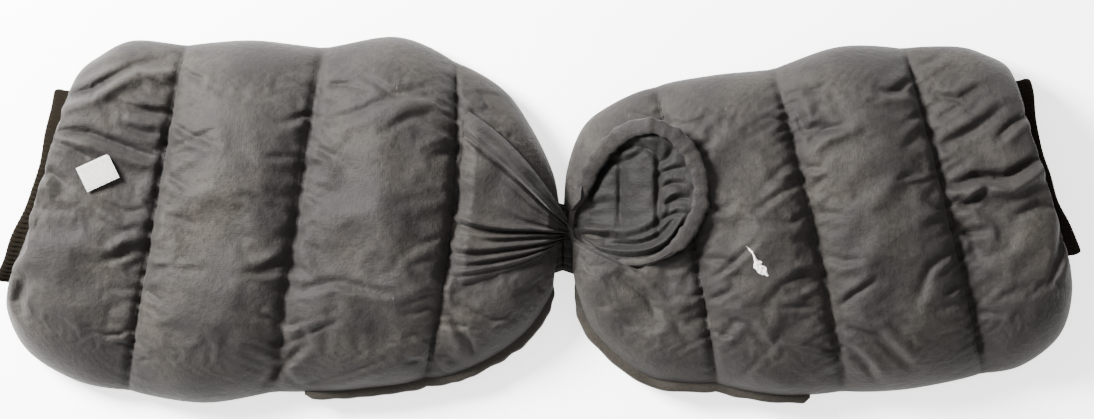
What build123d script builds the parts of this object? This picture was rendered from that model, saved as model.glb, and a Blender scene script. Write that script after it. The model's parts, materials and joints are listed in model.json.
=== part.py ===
from build123d import *
from dataclasses import dataclass
from math import degrees, radians, tan
import os

# Pair of quilted hand muffs for a push handle, joined at a gathered waist and lying on their backs.
#
# Each muff ("pod") is a padded sleeve: a flat back panel, an arched front panel with a lining each, a
# hand opening with an elastic cuff, and a bound corner flap that opens beside the waist. A padded strap
# runs from the left pod through an elastic keeper and ends in a tongue that closes on the right pod.
#
# A pod is drawn in its own frame: +X runs from the waist to the cuff (called u), +Y along its seams
# (called v) and +Z up from the floor. It is then mirrored if it is the left one, turned by its lean and
# set at the waist. All sizes are in millimetres.

# ---- cloth and padding
cloth = 0.6  # outer fabric
lining = 1.2  # fleece lining
clearance = 0.2  # between layers that are only laid together
back_height = 12.6  # floor to the lining face of a back panel
valley_rise = 1.6  # outer fabric above the lining at a quilting seam
axis_depth = 190.0  # the front panels arch about an axis this far below the floor
arch_half_angle = 40.0
groove_width, groove_depth = 18.0, 9.0  # V between two channels of a back panel
far = 400.0  # beyond every edge of a pod
chamber_gap = 10.0  # padding stops this far from a back seam
block_top = 78.0  # taller than any panel
side_slope = 24.0  # how far the front panel's edge leans in

# ---- flap, binding and closure
binding_width = 9.0
binding_thick = 3.6
tape_width = 10.0
tape_thick = 1.0
tape_gap = 0.3
patch_centre, patch_size, patch_gap = (42, 6), (22, 30), 0.05
flap_base = back_height + 2 * tape_thick + tape_gap
hinge_height = 31.0
hinge_gap = 0.6  # slit between a flap and its pod
flap_wedge = 31.0  # half angle of the slit above the hinge line, so that 60 degrees is free

# ---- cuff, waist, strap and label
cuff_length = 10.0
cuff_wall = 2.4
cuff_low, cuff_high = 9.0, 41.0
mouth_high = 60.0  # the end of the front panel is open to above its lining
waist_v = -4.0  # the waist's middle, across the pods
keeper_size = (8.0, 32.0, 22.0)
keeper_wall = 1.6
keeper_corner = 8.0
keeper_base = 3.0
web_size = (20.0, 15.0, 1.8)
root_u = 14.0  # where the strap and the tongue start, from the waist
strap_thick = 6.5
tongue_thick = 8.0
tongue_rim, rim_proud = 5.0, 0.4  # width of its bound edge, and how far that stands out
label_size = (19.0, 19.0, 0.8)
label_at = (279.0, -9.0, 56.4)
label_turn = 30.0
stitch_pitch, stitch_long, stitch_thick = 9.0, 5.0, 0.7


@dataclass
class Pod:
    """Everything that differs between the two pods, in the pod's own frame."""

    name: str
    lean: float  # degrees, + turns anticlockwise seen from above
    mirrored: bool
    crown_v: float  # the top of the arch
    outline: list  # corners (u, v, fillet radius)
    edge_path: list  # middle of the bound edge: (u, v) corners
    edge_radius: float
    cuff: tuple  # two corners of the hand opening
    stations: list  # (u, height of the lining at the crown): waist end, seams, cuff end
    puffs: list  # rise of each quilted channel above its chord
    hinge: tuple  # two points of the flap's hinge line


left = Pod(
    "left", -8.5, True, -21.0,
    [(14, 14, 0), (30, 97, 70), (286, 73, 52), (304, 37, 0), (320, -87, 0), (316, -140, 44),
     (236, -136, 0), (152, -124, 0), (141, -114, 0), (30, -94, 60), (14, -18, 0)],
    [(142, -120), (24, -99), (12, -34)], 66.0,
    ((304, 37), (320, -87)),
    [(14, 14), (70, 37), (159, 43), (242, 42), (318, 33)],
    [7, 17, 19, 17],
    ((147, -121), (14, -20)),
)
right = Pod(
    "right", 12.0, False, -30.0,
    [(14, 15, 0), (26, 62, 24), (64, 72, 90), (150, 70, 300), (272, 64, 42), (281, 26, 0),
     (288, -87, 0), (288, -143, 46), (214, -138, 0), (140, -131, 0), (128, -121, 0),
     (24, -104, 60), (14, -20, 0)],
    [(130, -126.5), (16, -108), (12, -38)], 66.0,
    ((281, 26), (288, -87)),
    [(14, 14), (71, 35), (145, 43), (228, 42), (286, 33)],
    [8, 16, 19, 16],
    ((134, -128), (14, -22)),
)


# ---- shapes in a pod's frame


def outline_block(pod, inset, low, high, slope=0.0):
    """Block on the pod's outline, drawn in by inset, with its sides leaning in by slope degrees."""
    corners = [(u, v) for u, v, _ in pod.outline[::-1]]
    radii = [r for _, _, r in pod.outline[::-1]]
    face = make_face(FilletPolyline(*corners, radius=radii, close=True))
    if inset:
        face = offset(face, -inset, kind=Kind.INTERSECTION)
    return extrude(Pos(0, 0, low) * face, high - low, taper=slope)


def profile(points):
    """Closed face in the u-z plane; each entry is a corner, or (middle, end) for an arc."""
    edges, last = [], points[0]
    for item in points[1:] + [points[0]]:
        if isinstance(item[0], tuple):
            edges.append(ThreePointArc(last, item[0], item[1]))
            last = item[1]
        else:
            edges.append(Line(last, item))
            last = item
    return make_face(edges)


def arched(pod, face, half_angle=arch_half_angle):
    """Turns a u-z face about the pod's crown axis."""
    axis = Axis((0, pod.crown_v, -axis_depth), (1, 0, 0))
    flat = Plane.XZ.offset(-pod.crown_v) * face
    return revolve(flat.rotate(axis, -half_angle), axis, 2 * half_angle)


def channel_arc(pod, index, rise, drop, trim=0.0):
    """Start, middle and end of one channel's arc; rise is over the lining at the seams."""
    (u0, z0), (u1, z1) = pod.stations[index : index + 2]
    u0, u1 = u0 + trim, u1 - trim
    middle = ((u0 + u1) / 2, (z0 + z1) / 2 + rise + pod.puffs[index] - drop)
    return (u0, z0 + rise), middle, (u1, z1 + rise)


def under_cover(pod, rise, drop):
    """Solid from deep inside up to the quilted face, which is drop below the cover's outside."""
    arcs = [channel_arc(pod, i, rise, drop) for i in range(len(pod.puffs))]
    first, last = arcs[0][0], arcs[-1][2]
    bottom = 2.0
    points = [(first[0], bottom), first]
    points += [(middle, end) for _, middle, end in arcs]
    points += [(last[0], bottom)]
    return arched(pod, profile(points))


def under_lining(pod, drop):
    bottom = 1.0
    top = [(u, z - drop) for u, z in pod.stations]
    return arched(pod, profile([(top[0][0], bottom)] + top + [(top[-1][0], bottom)]))


def front_layers(pod, base):
    """Cover, padding and lining of the front panel, standing on base."""
    inner_cover = under_cover(pod, valley_rise - cloth, cloth)
    cover = under_cover(pod, valley_rise, 0) & outline_block(pod, 0, base, block_top, side_slope)
    cover -= inner_cover & outline_block(pod, cloth, base, block_top, side_slope)

    inside = outline_block(pod, cloth + clearance, base, block_top, side_slope)
    lining_face = under_lining(pod, 0)
    lined = (lining_face - under_lining(pod, lining)) & inside

    padding = []
    for i in range(len(pod.puffs)):
        start, middle, end = channel_arc(pod, i, valley_rise - 2 * cloth, 2 * cloth, 2.0)
        low = 1.0
        chamber = arched(pod, profile([(start[0], low), start, (middle, end), (end[0], low)]))
        padding.append((chamber & inside) - lining_face)
    return cover, lined, padding


def seam_groove(u, width, depth, low=0.0):
    """Prism along v, open to the floor, that parts two channels of the back panel."""
    points = [(u - width / 2, low - 1), (u, low + depth), (u + width / 2, low - 1)]
    face = Plane.XZ * profile(points)
    return extrude(face, far / 2, both=True)


def back_layers(pod):
    seams = [u for u, _ in pod.stations[1:-1]]
    cover = outline_block(pod, 0, 0, back_height)
    hollow = outline_block(pod, cloth, cloth, back_height)
    padding = outline_block(pod, 2 * cloth, 2 * cloth, back_height - lining - clearance)
    for u in seams:
        cover -= seam_groove(u, groove_width, groove_depth)
        hollow -= seam_groove(u, groove_width + 3 * cloth, groove_depth + 1.5 * cloth)
        padding -= Pos(u, 0, 0) * Box(2 * chamber_gap, far, far)
    lined = outline_block(pod, cloth + clearance, back_height - lining, back_height)
    return cover - hollow, lined, [padding]


def hinge_place(pod):
    """Location of the hinge line: local X along it, local Y towards the pod, local Z up."""
    (u0, v0), (u1, v1) = pod.hinge
    origin = ((u0 + u1) / 2, (v0 + v1) / 2, hinge_height)
    return Plane(origin=origin, x_dir=(u0 - u1, v0 - v1, 0), z_dir=(0, 0, 1)).location


def cut(shape, tool):
    """Shape less the tool; an empty shape stays empty."""
    return shape - tool if shape else []


def split_at_hinge(pod, shape):
    """(pod side, flap side) of a shape, with a slit that lets the flap turn up."""
    place = hinge_place(pod)
    flap_side = place * Pos(0, -far / 2, 0) * Box(far, far, far)
    pod_side = place * Pos(0, far / 2, 0) * Box(far, far, far)
    slit = place * Box(far, hinge_gap, far)
    spread = far * tan(radians(flap_wedge))
    wedge = Plane.YZ * make_face(Polyline((0, 0), (spread, far), (-spread, far), close=True))
    slit += place * extrude(wedge, far / 2, both=True)
    return cut(shape & pod_side, slit), cut(shape & flap_side, slit)


def edge_strip(pod, shift, width, low, high):
    """Flat strip along the bound edge, moved in towards the pod by shift."""
    (u0, v0), (u1, v1), (u2, v2) = pod.edge_path
    corners = [(u0, v0 + shift), (u1 + shift, v1 + shift), (u2 + shift, v2)]
    path = FilletPolyline(*corners, radius=pod.edge_radius - shift)
    strip = extrude(Pos(0, 0, low) * trace(path, width), high - low)
    return split_at_hinge(pod, strip)[1]


def cuff_band(pod):
    """Elastic band round the hand opening, standing out from the end of the panels."""
    (u0, v0), (u1, v1) = pod.cuff
    middle = ((u0 + u1) / 2, (v0 + v1) / 2, (cuff_low + cuff_high) / 2)
    across = Vector(u0 - u1, v0 - v1, 0)
    place = Plane(origin=middle, x_dir=across, z_dir=across.cross(Vector(0, 0, 1)))
    wide, high = across.length, cuff_high - cuff_low
    outer = RectangleRounded(wide, high, high / 2 - 2)
    inner = RectangleRounded(wide - 2 * cuff_wall, high - 2 * cuff_wall, high / 2 - 2 - cuff_wall)
    sign = 1 if place.z_dir.X > 0 else -1
    return extrude(place * (outer - inner), sign * cuff_length)


def mouth(pod):
    """The hand opening through the end of the front cover."""
    (u0, v0), (u1, v1) = pod.cuff
    across = Vector(u0 - u1, v0 - v1, 0)
    middle = ((u0 + u1) / 2, (v0 + v1) / 2, back_height)
    place = Plane(origin=middle, x_dir=across, z_dir=(0, 0, 1)).location
    return place * Pos(0, 0, mouth_high / 2) * Box(across.length - 10, 12, mouth_high)


def stitch_rows(pod, base):
    """Quilting stitches lying in the front seams, as short bars along the arch."""
    bars = []
    for u, z in pod.stations[1:-1]:
        low = z + valley_rise + stitch_thick
        bar = profile([(u - stitch_thick / 2, low), (u - stitch_thick / 2, low + stitch_thick),
                       (u + stitch_thick / 2, low + stitch_thick), (u + stitch_thick / 2, low)])
        radius = axis_depth + z
        turn = degrees(stitch_pitch / radius)
        half = degrees(stitch_long / radius) / 2
        count = int(arch_half_angle * 0.9 / turn)
        for k in range(-count, count + 1):
            piece = arched(pod, bar, half)
            axis = Axis((0, pod.crown_v, -axis_depth), (1, 0, 0))
            piece = piece.rotate(axis, k * turn)
            box = piece.bounding_box()
            if box.min.Z > base + 1 and inside_outline(pod, u, box.min.Y, box.max.Y):
                bars.append(piece)
    return bars


def inside_outline(pod, u, low_v, high_v):
    """True if both ends of a stitch at u lie inside the outline."""
    block = outline_block(pod, 3.0, 0, 2)
    return all(block.solid().is_inside(Vector(u, v, 1)) for v in (low_v, high_v))


# ---- strap and tongue, which lie over the arch


def over_arch(pod, lower, upper, plan):
    """Layer between two u-z lines, arched with the pod and cut to a plan outline."""
    face = profile(lower + upper[::-1])
    return arched(pod, face) & extrude(plan, block_top)


def strap_plan(inset):
    wide, narrow, sewn_u = 50.0, 9.0, 68.5
    middle_v = 7.0
    corners = [(root_u, narrow - 3), (sewn_u, middle_v + wide), (sewn_u, middle_v - wide),
               (root_u, -narrow - 3)]
    face = make_face(Polyline(*corners, close=True))
    return offset(face, -inset) if inset else face


strap_under = [(root_u, 17.5), (26, 27.5), (44, 36.5), (68.5, 40.5)]


def strap_layers(pod):
    top = [(u, z + strap_thick) for u, z in strap_under]
    skin = [(u, z + cloth) for u, z in strap_under]
    inner_top = [(u, z + strap_thick - cloth) for u, z in strap_under]
    body = over_arch(pod, strap_under, top, strap_plan(0))
    hollow = over_arch(pod, skin, inner_top, strap_plan(cloth))
    fill_low = [(u, z + cloth + clearance) for u, z in strap_under]
    fill_top = [(u, z + strap_thick - cloth - clearance) for u, z in strap_under]
    fill = over_arch(pod, fill_low, fill_top, strap_plan(cloth + clearance))
    return body - hollow, fill


tongue_under = [(root_u, 21.0), (32, 34.5), (52, 41.0), (72, 44.5), (94, 56.5)]
tongue_corners = [(root_u, 8, 0), (34, 51, 22), (84, 50, 32), (82, -30, 36), (24, -30, 18),
                  (root_u, -14, 0)]


def tongue_plan(inset):
    """Rounded head, drawn in to a narrow root beside the waist."""
    corners = [(u, v) for u, v, _ in tongue_corners]
    radii = [r for _, _, r in tongue_corners]
    face = make_face(FilletPolyline(*corners, radius=radii, close=True))
    return offset(face, -inset, kind=Kind.INTERSECTION) if inset else face


def tongue_layers(pod):
    def layer(low, high, inset):
        lower = [(u, z + low) for u, z in tongue_under]
        upper = [(u, z + high) for u, z in tongue_under]
        return over_arch(pod, lower, upper, tongue_plan(inset))

    cover = layer(tongue_thick - cloth, tongue_thick, tongue_rim)
    backing = layer(0, lining, tongue_rim)
    fill = layer(lining + clearance, tongue_thick - cloth - clearance, tongue_rim)
    binding = layer(-rim_proud, tongue_thick + rim_proud, 0)
    binding -= layer(-tongue_rim, tongue_thick + tongue_rim, tongue_rim)
    return cover, fill, backing, binding


def patch(pod, low, centre, size):
    """Rectangular patch of tape that follows the tongue's underside."""
    lower = [(u, z + low) for u, z in tongue_under]
    upper = [(u, z + low + tape_thick) for u, z in tongue_under]
    plan = Pos(*centre) * RectangleRounded(*size, 4)
    return over_arch(pod, lower, upper, plan)


# ---- placing and writing


def place(pod, shape):
    """From the pod's frame to the waist frame."""
    if pod.mirrored:
        shape = mirror(shape, about=Plane.YZ)
    return Rot(0, 0, pod.lean) * shape


def solids_of(shape):
    items = shape if isinstance(shape, list) else [shape]
    return [s for item in items if item for s in item.solids() if s.volume > 0.5]


nodes = {}


def add(name, shape, pod=None):
    solids = solids_of(shape)
    if pod:
        solids = [s for solid in solids for s in place(pod, solid).solids()]
    nodes[name] = solids


def add_split(pod, layer, shapes, flap_shapes):
    """A front layer as two nodes: the part that stays and the flap."""
    stay = [split_at_hinge(pod, s)[0] for s in solids_of(shapes)]
    flap = [split_at_hinge(pod, s)[1] for s in solids_of(flap_shapes)]
    add(f"{pod.name}_front_{layer}", stay, pod)
    add(f"{pod.name}_flap_{layer}", flap, pod)


def build_pod(pod):
    cover, lined, padding = front_layers(pod, back_height)
    flap_cover, flap_lined, flap_padding = front_layers(pod, flap_base)
    add_split(pod, "cover", cover - mouth(pod), flap_cover)
    add_split(pod, "lining", lined - mouth(pod), flap_lined)
    add_split(pod, "padding", [p - mouth(pod) for p in padding], flap_padding)

    back_cover, back_lined, back_padding = back_layers(pod)
    add(f"{pod.name}_back_cover", back_cover, pod)
    add(f"{pod.name}_back_lining", back_lined, pod)
    add(f"{pod.name}_back_padding", back_padding, pod)

    add(f"{pod.name}_cuff_elastic", cuff_band(pod), pod)
    flap_high = flap_base + binding_thick
    add(f"{pod.name}_flap_binding", edge_strip(pod, 0, binding_width, flap_base, flap_high), pod)
    back_low = back_height - binding_thick
    add(f"{pod.name}_back_binding", edge_strip(pod, 0, binding_width, back_low, back_height), pod)
    inset = binding_width / 2 + 1 + tape_width / 2 + 1.5
    hook_low = flap_base - tape_thick
    add(f"{pod.name}_flap_hook_tape", edge_strip(pod, inset, tape_width, hook_low, flap_base), pod)
    loop_high = back_height + tape_thick
    add(f"{pod.name}_back_loop_tape",
        edge_strip(pod, inset, tape_width, back_height, loop_high), pod)

    stitches = stitch_rows(pod, back_height)
    stay, flap = [], []
    for bar in stitches:
        on_pod, on_flap = split_at_hinge(pod, bar)
        whole = bar.volume * 0.98
        if sum(s.volume for s in solids_of(on_pod)) > whole:
            stay.append(bar)
        elif sum(s.volume for s in solids_of(on_flap)) > whole:
            flap.append(bar)
    add(f"{pod.name}_quilting_stitches", stay, pod)
    add(f"{pod.name}_flap_stitches", flap, pod)


def build_waist():
    deep, wide, high = keeper_size
    middle = keeper_base + high / 2
    ring = RectangleRounded(wide, high, keeper_corner)
    ring -= RectangleRounded(wide - 2 * keeper_wall, high - 2 * keeper_wall, keeper_corner - keeper_wall)
    loop = extrude(Plane.YZ * ring, deep / 2, both=True)
    add("waist_keeper_loop", Pos(0, waist_v, middle) * loop)

    web_low = keeper_base + keeper_wall + clearance
    web = Pos(0, waist_v, web_low + web_size[2] / 2) * Box(*web_size)
    add("waist_webbing", web)

    neck_low = web_low + web_size[2] + clearance
    neck_high = keeper_base + high - keeper_wall - clearance
    neck_wide = wide - 2 * keeper_wall - 4
    neck = RectangleRounded(neck_wide, neck_high - neck_low, 5)
    neck = extrude(Plane.YZ * neck, deep / 2 + 1.5, both=True)
    add("strap_neck", Pos(0, waist_v, (neck_low + neck_high) / 2) * neck)


def build_strap():
    cover, fill = strap_layers(left)
    add("strap_cover", cover, left)
    add("strap_padding", fill, left)


def build_tongue():
    cover, fill, backing, binding = tongue_layers(right)
    add("tongue_cover", cover, right)
    add("tongue_padding", fill, right)
    add("tongue_backing", backing, right)
    add("tongue_binding", binding, right)
    hook_low = -tape_thick - patch_gap
    add("tongue_hook_patch", patch(right, hook_low, patch_centre, patch_size), right)
    loop_low = hook_low - tape_thick - tape_gap
    add("right_loop_patch", patch(right, loop_low, patch_centre, patch_size), right)


def build_label():
    tag = Box(*label_size, align=(Align.CENTER, Align.CENTER, Align.MIN))
    add("label_tag", Pos(*label_at) * Rot(0, 0, label_turn) * tag, left)


def write_all():
    """Centres the whole object over the origin, stands it on the floor and writes every node."""
    low, high = [1e9] * 3, [-1e9] * 3
    for solids in nodes.values():
        for s in solids:
            box = s.bounding_box()
            low = [min(a, b) for a, b in zip(low, box.min)]
            high = [max(a, b) for a, b in zip(high, box.max)]
    shift = (-(low[0] + high[0]) / 2, -(low[1] + high[1]) / 2, -low[2])
    os.makedirs("parts", exist_ok=True)
    for name, solids in nodes.items():
        moved = [Pos(*shift) * s for s in solids]
        shape = moved[0] if len(moved) == 1 else Compound(moved)
        export_step(shape, f"parts/{name}.step")
    return shift


for each in (left, right):
    build_pod(each)
build_waist()
build_strap()
build_tongue()
build_label()
waist_place = write_all()
print("waist frame shifted by", [round(x, 3) for x in waist_place])
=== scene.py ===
import bpy
import json
import math
import numpy as np
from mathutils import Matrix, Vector
from mathutils.kdtree import KDTree


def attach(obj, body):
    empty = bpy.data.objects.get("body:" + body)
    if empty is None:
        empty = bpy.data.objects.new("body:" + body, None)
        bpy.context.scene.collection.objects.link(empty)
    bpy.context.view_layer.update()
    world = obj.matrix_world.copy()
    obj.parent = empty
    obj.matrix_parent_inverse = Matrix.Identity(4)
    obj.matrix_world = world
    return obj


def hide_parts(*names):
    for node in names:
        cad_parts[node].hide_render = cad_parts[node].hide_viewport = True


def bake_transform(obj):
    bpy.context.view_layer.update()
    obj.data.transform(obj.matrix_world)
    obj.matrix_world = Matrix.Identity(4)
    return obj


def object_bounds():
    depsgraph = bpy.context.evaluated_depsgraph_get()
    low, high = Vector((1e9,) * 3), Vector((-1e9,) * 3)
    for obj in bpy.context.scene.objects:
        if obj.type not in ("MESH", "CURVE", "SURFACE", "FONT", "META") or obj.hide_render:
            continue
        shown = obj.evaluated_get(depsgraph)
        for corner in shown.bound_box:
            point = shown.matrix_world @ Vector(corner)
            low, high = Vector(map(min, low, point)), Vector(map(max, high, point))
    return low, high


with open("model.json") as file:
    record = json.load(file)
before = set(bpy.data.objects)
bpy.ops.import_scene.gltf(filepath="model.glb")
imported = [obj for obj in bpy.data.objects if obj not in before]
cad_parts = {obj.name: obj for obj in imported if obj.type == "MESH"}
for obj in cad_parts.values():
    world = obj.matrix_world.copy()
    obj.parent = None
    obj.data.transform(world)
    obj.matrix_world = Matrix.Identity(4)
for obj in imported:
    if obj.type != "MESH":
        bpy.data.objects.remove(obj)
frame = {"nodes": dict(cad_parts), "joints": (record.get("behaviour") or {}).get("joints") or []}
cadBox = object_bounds()
jointOf = {j["name"]: j for j in frame["joints"]}
mm = 0.001
waistMiddle = -4.0  # the waist joint sits this far across from the drawing origin
waistJoint = jointOf["waist_swing"]["pos_m"]
waistAt = np.array([waistJoint[0] / mm, waistJoint[1] / mm - waistMiddle])

# the two muffs, in millimetres from the waist: u runs out to the cuff, v across

leftPod = {
    "name": "left", "side": -1, "lean": -8.5, "body": "left_pod", "flap": "left_flap",
    # each rib: lower end (u, v), upper end (u, v), height of the crown above the rim
    "ribs": [((1, -26), (3, 10), 4), ((1.5, -44), (11, 32), 9), ((15, -70), (28, 57), 15),
             ((42, -93), (48, 77), 19), ((69, -105), (79, 90), 23), ((112, -117), (116, 99), 26),
             ((158, -126), (159, 87), 26), ((200, -138), (203, 84), 27), ((246, -138), (242, 76), 25),
             ((278, -136), (275, 73), 25), ((309, -123), (294, 60), 24), ((325, -101), (303, 50), 23),
             ((325, -84), (306, 38), 22)],
    "seams": [4, 6, 8], "puffs": [6, 12, 13, 11], "fullness": [0.58, 0.55, 0.55, 0.58],
    "seamBend": [-13.0, -2.0, -4.0], "hinge": ((147, -121), (14, -20)), "seed": 11,
}
rightPod = {
    "name": "right", "side": 1, "lean": 12.0, "body": "right_pod", "flap": "right_flap",
    "ribs": [((0.5, -26), (2.5, 10), 4), ((0.5, -45), (10, 34), 9), ((7, -70), (24, 56), 14),
             ((33, -101), (43, 66), 18), ((71, -114), (72, 72), 22), ((106, -127), (108, 71), 25),
             ((145, -134), (144, 68), 26), ((184, -140), (186, 72), 27), ((230, -141), (224, 64), 25),
             ((256, -140), (257, 57), 25), ((281, -127), (272, 49), 24), ((293, -104), (283, 40), 23),
             ((293, -82), (285, 30), 22)],
    "seams": [4, 6, 8], "puffs": [6, 12, 14, 11], "fullness": [0.58, 0.55, 0.55, 0.58],
    "seamBend": [4.0, 1.5, -2.0], "hinge": ((134, -128), (14, -22)), "seed": 23,
}
padShape = {"rimFront": 13.0, "rimBack": 12.0, "flapLift": 2.2, "rows": 250, "across": 190, "backRows": 150,
            "backAcross": 80, "padUnder": 1.6, "notch": 1.3, "seamCut": 3.0, "fill": 9.0, "endHollow": 5.5}


def curveThrough(points, at):  # Catmull-Rom through the points, at fractional indices
    pts = np.asarray(points, float)
    pts = np.vstack([2 * pts[0] - pts[1], pts, 2 * pts[-1] - pts[-2]])
    at = np.clip(np.asarray(at, float), 0, len(pts) - 3 - 1e-9)
    i = np.floor(at).astype(int)
    f = (at - i)[..., None]
    a, b, c, d = pts[i], pts[i + 1], pts[i + 2], pts[i + 3]
    return 0.5 * (2 * b + (c - a) * f + (2 * a - 5 * b + 4 * c - d) * f**2 + (3 * b - a - 3 * c + d) * f**3)


def toRow(pod, u, v, z):  # from a muff's own frame to the row frame, in metres
    lean = math.radians(pod["lean"])
    x = pod["side"] * u
    return np.stack([(x * math.cos(lean) - v * math.sin(lean) + waistAt[0]) * mm,
                     (x * math.sin(lean) + v * math.cos(lean) + waistAt[1]) * mm, z * mm], axis=-1)


def softField(x, y, size, seed, waves=14):  # smooth random field, about -1 to 1
    rng = np.random.default_rng(seed)
    total = np.zeros(np.shape(x))
    for _ in range(waves):
        angle, phase = rng.uniform(0, 2 * math.pi, 2)
        pitch = size * rng.uniform(0.7, 1.6)
        total += np.sin((x * math.cos(angle) + y * math.sin(angle)) * 2 * math.pi / pitch + phase)
    return total / math.sqrt(waves)


def smooth(x):
    x = np.clip(x, 0, 1)
    return x * x * (3 - 2 * x)


def crease(u, v, points, depth, width, lip=0.5):
    # a fold line: a groove along the points, with a soft lip beside it on the side that lip's sign gives
    pts = np.array(points, float)
    best = np.full(u.shape, 1e9)
    side = np.zeros(u.shape)
    along = np.zeros(u.shape)
    lengths = np.linalg.norm(np.diff(pts, axis=0), axis=1)
    total, done = lengths.sum(), 0.0
    for (a, b), length in zip(zip(pts[:-1], pts[1:]), lengths):
        d = (b - a) / length
        f = np.clip((u - a[0]) * d[0] + (v - a[1]) * d[1], 0, length)
        du, dv = u - a[0] - f * d[0], v - a[1] - f * d[1]
        dist = np.hypot(du, dv)
        near = dist < best
        best = np.where(near, dist, best)
        side = np.where(near, d[0] * dv - d[1] * du, side)
        along = np.where(near, (done + f) / total, along)
        done += length
    ends = np.sqrt(np.clip(np.sin(np.clip(along, 0.02, 0.98) * math.pi), 0, 1))
    groove = np.exp(-(best / width) ** 2)
    lipSide = smooth(0.5 + 0.5 * np.sign(lip) * side / np.maximum(best, 1e-6))
    ridge = np.exp(-((best - 2.1 * width) / (1.5 * width)) ** 2) * lipSide
    return depth * ends * (abs(lip) * ridge - groove)


def plan(pod, s, t):  # plan position of a point: s along the ribs, t across
    low = curveThrough([r[0] for r in pod["ribs"]], s)
    high = curveThrough([r[1] for r in pod["ribs"]], s)
    p = low + (high - low) * t[..., None]
    bend = np.interp(s, [0] + pod["seams"] + [len(pod["ribs"]) - 1], [0] + pod["seamBend"] + [0])
    notch = sum(np.exp(-np.abs(s - seam) * 6.5) for seam in pod["seams"])  # each seam draws the outline in
    last = len(pod["ribs"]) - 1
    bend = bend * 0.6 - padShape["endHollow"] * smooth((s - last + 2.5) / 2.5)  # the cuff end is drawn in
    return p[..., 0] + bend * np.sin(np.pi * t), p[..., 1] + padShape["notch"] * notch * (1 - 2 * t)


def flapSide(pod, u, v):  # distance past the flap's hinge line, + on the flap
    (u0, v0), (u1, v1) = pod["hinge"]
    length = math.hypot(u1 - u0, v1 - v0)
    return ((u - u1) * (v0 - v1) - (v - v1) * (u0 - u1)) / length


def crownOf(pod, s):
    return curveThrough([[r[2]] for r in pod["ribs"]], s)[..., 0]


def padTop(pod, s, t, u, v):
    x = np.abs(2 * t - 1)
    arch = crownOf(pod, s) * (1 - x**2.4) ** 0.72 + padShape["fill"] * smooth(s / 4) * (1 - x**4) ** 0.6
    edges = [0] + pod["seams"] + [len(pod["ribs"]) - 1]
    puff = np.zeros(s.shape)
    for i in range(4):
        inside = (s >= edges[i]) & (s <= edges[i + 1])
        frac = np.clip((s - edges[i]) / (edges[i + 1] - edges[i]), 0, 1)
        bump = np.sin(math.pi * frac) ** pod["fullness"][i]
        puff = np.where(inside, pod["puffs"][i] * bump, puff)
    z = arch + puff * (1 - x**4) ** 0.5
    for seam in pod["seams"]:  # the thread itself sits in a narrow cut
        z -= padShape["seamCut"] * np.exp(-((s - seam) * 38.0 / 3.0) ** 2) * (1 - x**6)
    z += padWrinkles(pod, s, t, u, v, edges) * (1 - x**6)
    lift = padShape["flapLift"] * smooth(flapSide(pod, u, v) / 12)
    z = padShape["rimFront"] + lift + z
    if pod["side"] < 0:  # the strap presses the padding down beside the waist
        half = 5 + 0.68 * u
        inside = smooth((half - np.abs(v + 4 - 0.17 * u)) / 6) * smooth((71 - u) / 5)
        z = np.minimum(z, z * (1 - inside) + (12.5 + 0.43 * u) * inside)
    if pod["side"] > 0:  # the tongue presses the padding down
        inside = smooth((1.04 - np.hypot((u - 51) / 37, (v - 6) / 37)) / 0.2)
        most = tongueHeight(u, v) - tongueLook["dish"] - tongueLook["thick"] - 9.0
        z = np.where(inside > 0, np.minimum(z, z * (1 - inside) + most * inside), z)
        inside = smooth((6 + 0.75 * u - np.abs(v + 2)) / 6) * smooth((44 - u) / 10)
        z = np.minimum(z, z * (1 - inside) + (9.5 + 0.45 * u) * inside)
    return z


tongueLook = {"outline": [(2, -3), (6, 7), (13, 16), (20, 27), (30, 38), (43, 47), (57, 50), (70, 46),
                          (81, 34), (86, 17), (84, -1), (77, -14), (65, -25), (50, -31), (35, -31),
                          (20, -26), (9, -16), (3, -9)],
              "centre": (50.0, 8.0), "rim": 7.6, "rimHigh": 3.2, "dish": 5.5, "thick": 4.0}


def tongueHeight(u, v):
    return 22.0 + 35.0 * smooth((u + 6) / 80.0)


def padWrinkles(pod, s, t, u, v, edges):
    seed = pod["seed"]
    z = 1.3 * softField(u, v, 62, seed) + 0.25 * softField(u, v, 21, seed + 1)
    rng = np.random.default_rng(seed)
    for k, edge in enumerate(pod["seams"]):  # puckers that the thread pulls in, each side of a seam
        mid = plan(pod, np.array([float(edge)]), np.array([0.5]))[0][0]
        du = (s - edge) * 38.0
        wave = softField(v + 0.3 * du, 0 * v, 13, seed + 5 + k)
        wave += 0.7 * softField(v - 0.3 * du, 0 * v, 6, seed + 9 + k)
        z += 1.25 * wave * np.exp(-np.abs(du) / 8)
        for side in (-1, 1):
            for _ in range(14):
                v0 = rng.uniform(-118, 82)
                run, slant = rng.uniform(10, 38) * rng.uniform(0.5, 1), rng.uniform(-0.6, 0.6)
                a = (mid + side * 2, v0)
                b = (mid + side * run * 0.5, v0 + slant * run * 0.5 + rng.uniform(-2, 2))
                c = (mid + side * run, v0 + slant * run)
                depth, width = rng.uniform(0.8, 2.4), rng.uniform(1.2, 2.6)
                z += crease(u, v, [a, b, c], depth, width, rng.choice([-0.8, 0.8]))
    for points, depth, width, lip in pod["folds"]:
        z += crease(u, v, points, depth, width, lip)
    return z


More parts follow.
